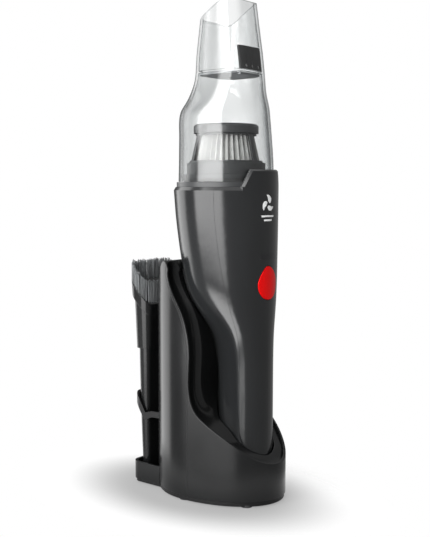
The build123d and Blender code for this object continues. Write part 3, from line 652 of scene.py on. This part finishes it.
def add_thin_tube(mesh, route, radius, sides=6):
    """A thin closed tube along a route of points."""
    rings = []
    for i, point in enumerate(route):
        ahead = (route[min(i + 1, len(route) - 1)] - route[max(i - 1, 0)]).normalized()
        across = ahead.cross(Vector((1.0, 0.0, 0.0))).normalized()
        other = ahead.cross(across)
        ring = []
        for k in range(sides):
            angle = FULL_TURN * k / sides
            ring.append(mesh.verts.new(point + (across * math.cos(angle) + other * math.sin(angle)) * radius))
        rings.append(ring)
    for lower, upper in zip(rings, rings[1:]):
        for k in range(sides):
            mesh.faces.new((lower[k], lower[(k + 1) % sides], upper[(k + 1) % sides], upper[k]))
    mesh.faces.new(rings[0][::-1])
    mesh.faces.new(rings[-1])


# the thread that stands in for the joint's shadow line, painted shade
SEAM_WIDTH = 0.55 * MM
SEAM_PROUD = 0.35 * SEAM_WIDTH
SEAM_STEPS = 60
SEAM_LOW_GAP = 0.5 * MM
SEAM_SHORTENED = 14 * MM
SEARCH_FROM, SEARCH_STEP = 1.0 * MM, 0.25 * MM
SIDE_WALL = 0.6  # share of the back shell's half width beyond which a hit is on its side wall


def make_dock_seams(material):
    """A thin matte thread laid along the line where the back shell of the dock meets its front shell, on both
    sides: a dark piece standing in for the shadow line of that joint, painted shade.
    """
    tree = tree_of("dock_back_shell")
    low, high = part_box("dock_back_shell")
    lines = bmesh.new()
    for side in (-1.0, 1.0):
        route = []
        for i in range(SEAM_STEPS + 1):
            z = low.z + SEAM_LOW_GAP + (high.z - low.z - SEAM_SHORTENED) * i / SEAM_STEPS
            y, hit = low.y - SEARCH_FROM, None
            while hit is None and y < high.y:
                y += SEARCH_STEP
                hit = tree.ray_cast(Vector((side, y, z)), Vector((-side, 0.0, 0.0)))[0]
                if hit is not None and abs(hit.x) < SIDE_WALL * high.x:
                    hit = None
            if hit is not None:
                route.append(Vector((hit.x - side * SEAM_PROUD, hit.y, hit.z)))
        add_thin_tube(lines, route, SEAM_WIDTH / 2)
    mesh_object("dock_shadow_thread", lines, material, "dock")


MARK_Z, MARK_X = 0.2585, -0.0015
MARK_THICK = 0.12 * MM
MARK_CELLS = 3
BLADES, BLADE_TURN, BLADE_SWEEP = 3, 0.5, 1.3
BLADE_START, BLADE_LENGTH, BLADE_RAISED = 1.6, 6.2, 4.0
BLADE_THIN, BLADE_SWELL = 0.7, 3.6
BARS = (-6.6, 8.4), (-10.0, 5.2)
BAR_HEIGHT = 1.5


def strip_points(curve, width_at, count):
    """Left and right edges of a band of varying width along a curve in the x-z plane."""
    edges = []
    for i in range(count + 1):
        t = i / count
        here = curve(t)
        ahead = curve(t + 0.001)
        heading = (ahead - here).normalized()
        across = Vector((-heading.y, heading.x)) * width_at(t) / 2
        edges.append((here + across, here - across))
    return edges


def add_plate(mesh, tree, edges):
    """A thin plate that follows the front of the housing between two edges, given in its x-z plane."""
    rows = []
    for left, right in edges:
        row = []
        for k in range(MARK_CELLS + 1):
            point = left.lerp(right, k / MARK_CELLS)
            x, z = MARK_X + point.x, MARK_Z + point.y
            y = tree.ray_cast(Vector((x, -1.0, z)), Vector((0.0, 1.0, 0.0)))[0].y
            row.append((x, y, z))
        rows.append(row)
    outer = [[mesh.verts.new((x, y - MARK_THICK, z)) for x, y, z in row] for row in rows]
    under = [[mesh.verts.new((x, y + MARK_THICK, z)) for x, y, z in row] for row in rows]
    last, side = len(rows) - 1, MARK_CELLS
    for i in range(last):
        for k in range(side):
            mesh.faces.new((outer[i][k], outer[i][k + 1], outer[i + 1][k + 1], outer[i + 1][k]))
            mesh.faces.new((under[i][k], under[i + 1][k], under[i + 1][k + 1], under[i][k + 1]))
        mesh.faces.new((outer[i][0], outer[i + 1][0], under[i + 1][0], under[i][0]))
        mesh.faces.new((outer[i][side], under[i][side], under[i + 1][side], outer[i + 1][side]))
    for k in range(side):
        mesh.faces.new((outer[0][k], under[0][k], under[0][k + 1], outer[0][k + 1]))
        mesh.faces.new((outer[last][k], outer[last][k + 1], under[last][k + 1], under[last][k]))


def blade_edges(turn):
    """One curved fan blade, narrow at its root and its tip."""
    def curve(t):
        angle = turn + BLADE_SWEEP * t
        reach = (BLADE_START + BLADE_LENGTH * t) * MM
        return Vector((math.cos(angle) * reach, math.sin(angle) * reach + BLADE_RAISED * MM))

    def width_at(t):
        return (BLADE_THIN + BLADE_SWELL * math.sin(math.pi * min(t, 1.0) ** 0.8)) * MM

    return strip_points(curve, width_at, 12)


def bar_edges(z, half):
    """One level bar under the blades."""
    def curve(t):
        return Vector(((2 * t - 1) * half * MM, z * MM))

    return strip_points(curve, lambda t: BAR_HEIGHT * MM, 14)


def make_mark(material):
    """A plain printed mark: three curved fan blades over two short bars."""
    tree = tree_of("housing_front")
    mesh = bmesh.new()
    for k in range(BLADES):
        add_plate(mesh, tree, blade_edges(FULL_TURN * k / BLADES + BLADE_TURN))
    for z, half in BARS:
        add_plate(mesh, tree, bar_edges(z, half))
    bmesh.ops.recalc_face_normals(mesh, faces=mesh.faces)
    mesh_object("printed_mark", mesh, material, "vacuum")


make_camera()
make_world()
make_floor()
finishes = make_finishes()
paint_nodes(finishes)
NODES["inlet_flap"].data.materials[0] = silicone("silicone")
make_bristles(finishes["bristle"])
make_filter_cage(finishes["filter_plastic"])
# painted shade: a thread standing in for the shadow line at the dock's shell joint
make_dock_seams(finishes["dock_matte"])
make_mark(printed_white("printed_white"))
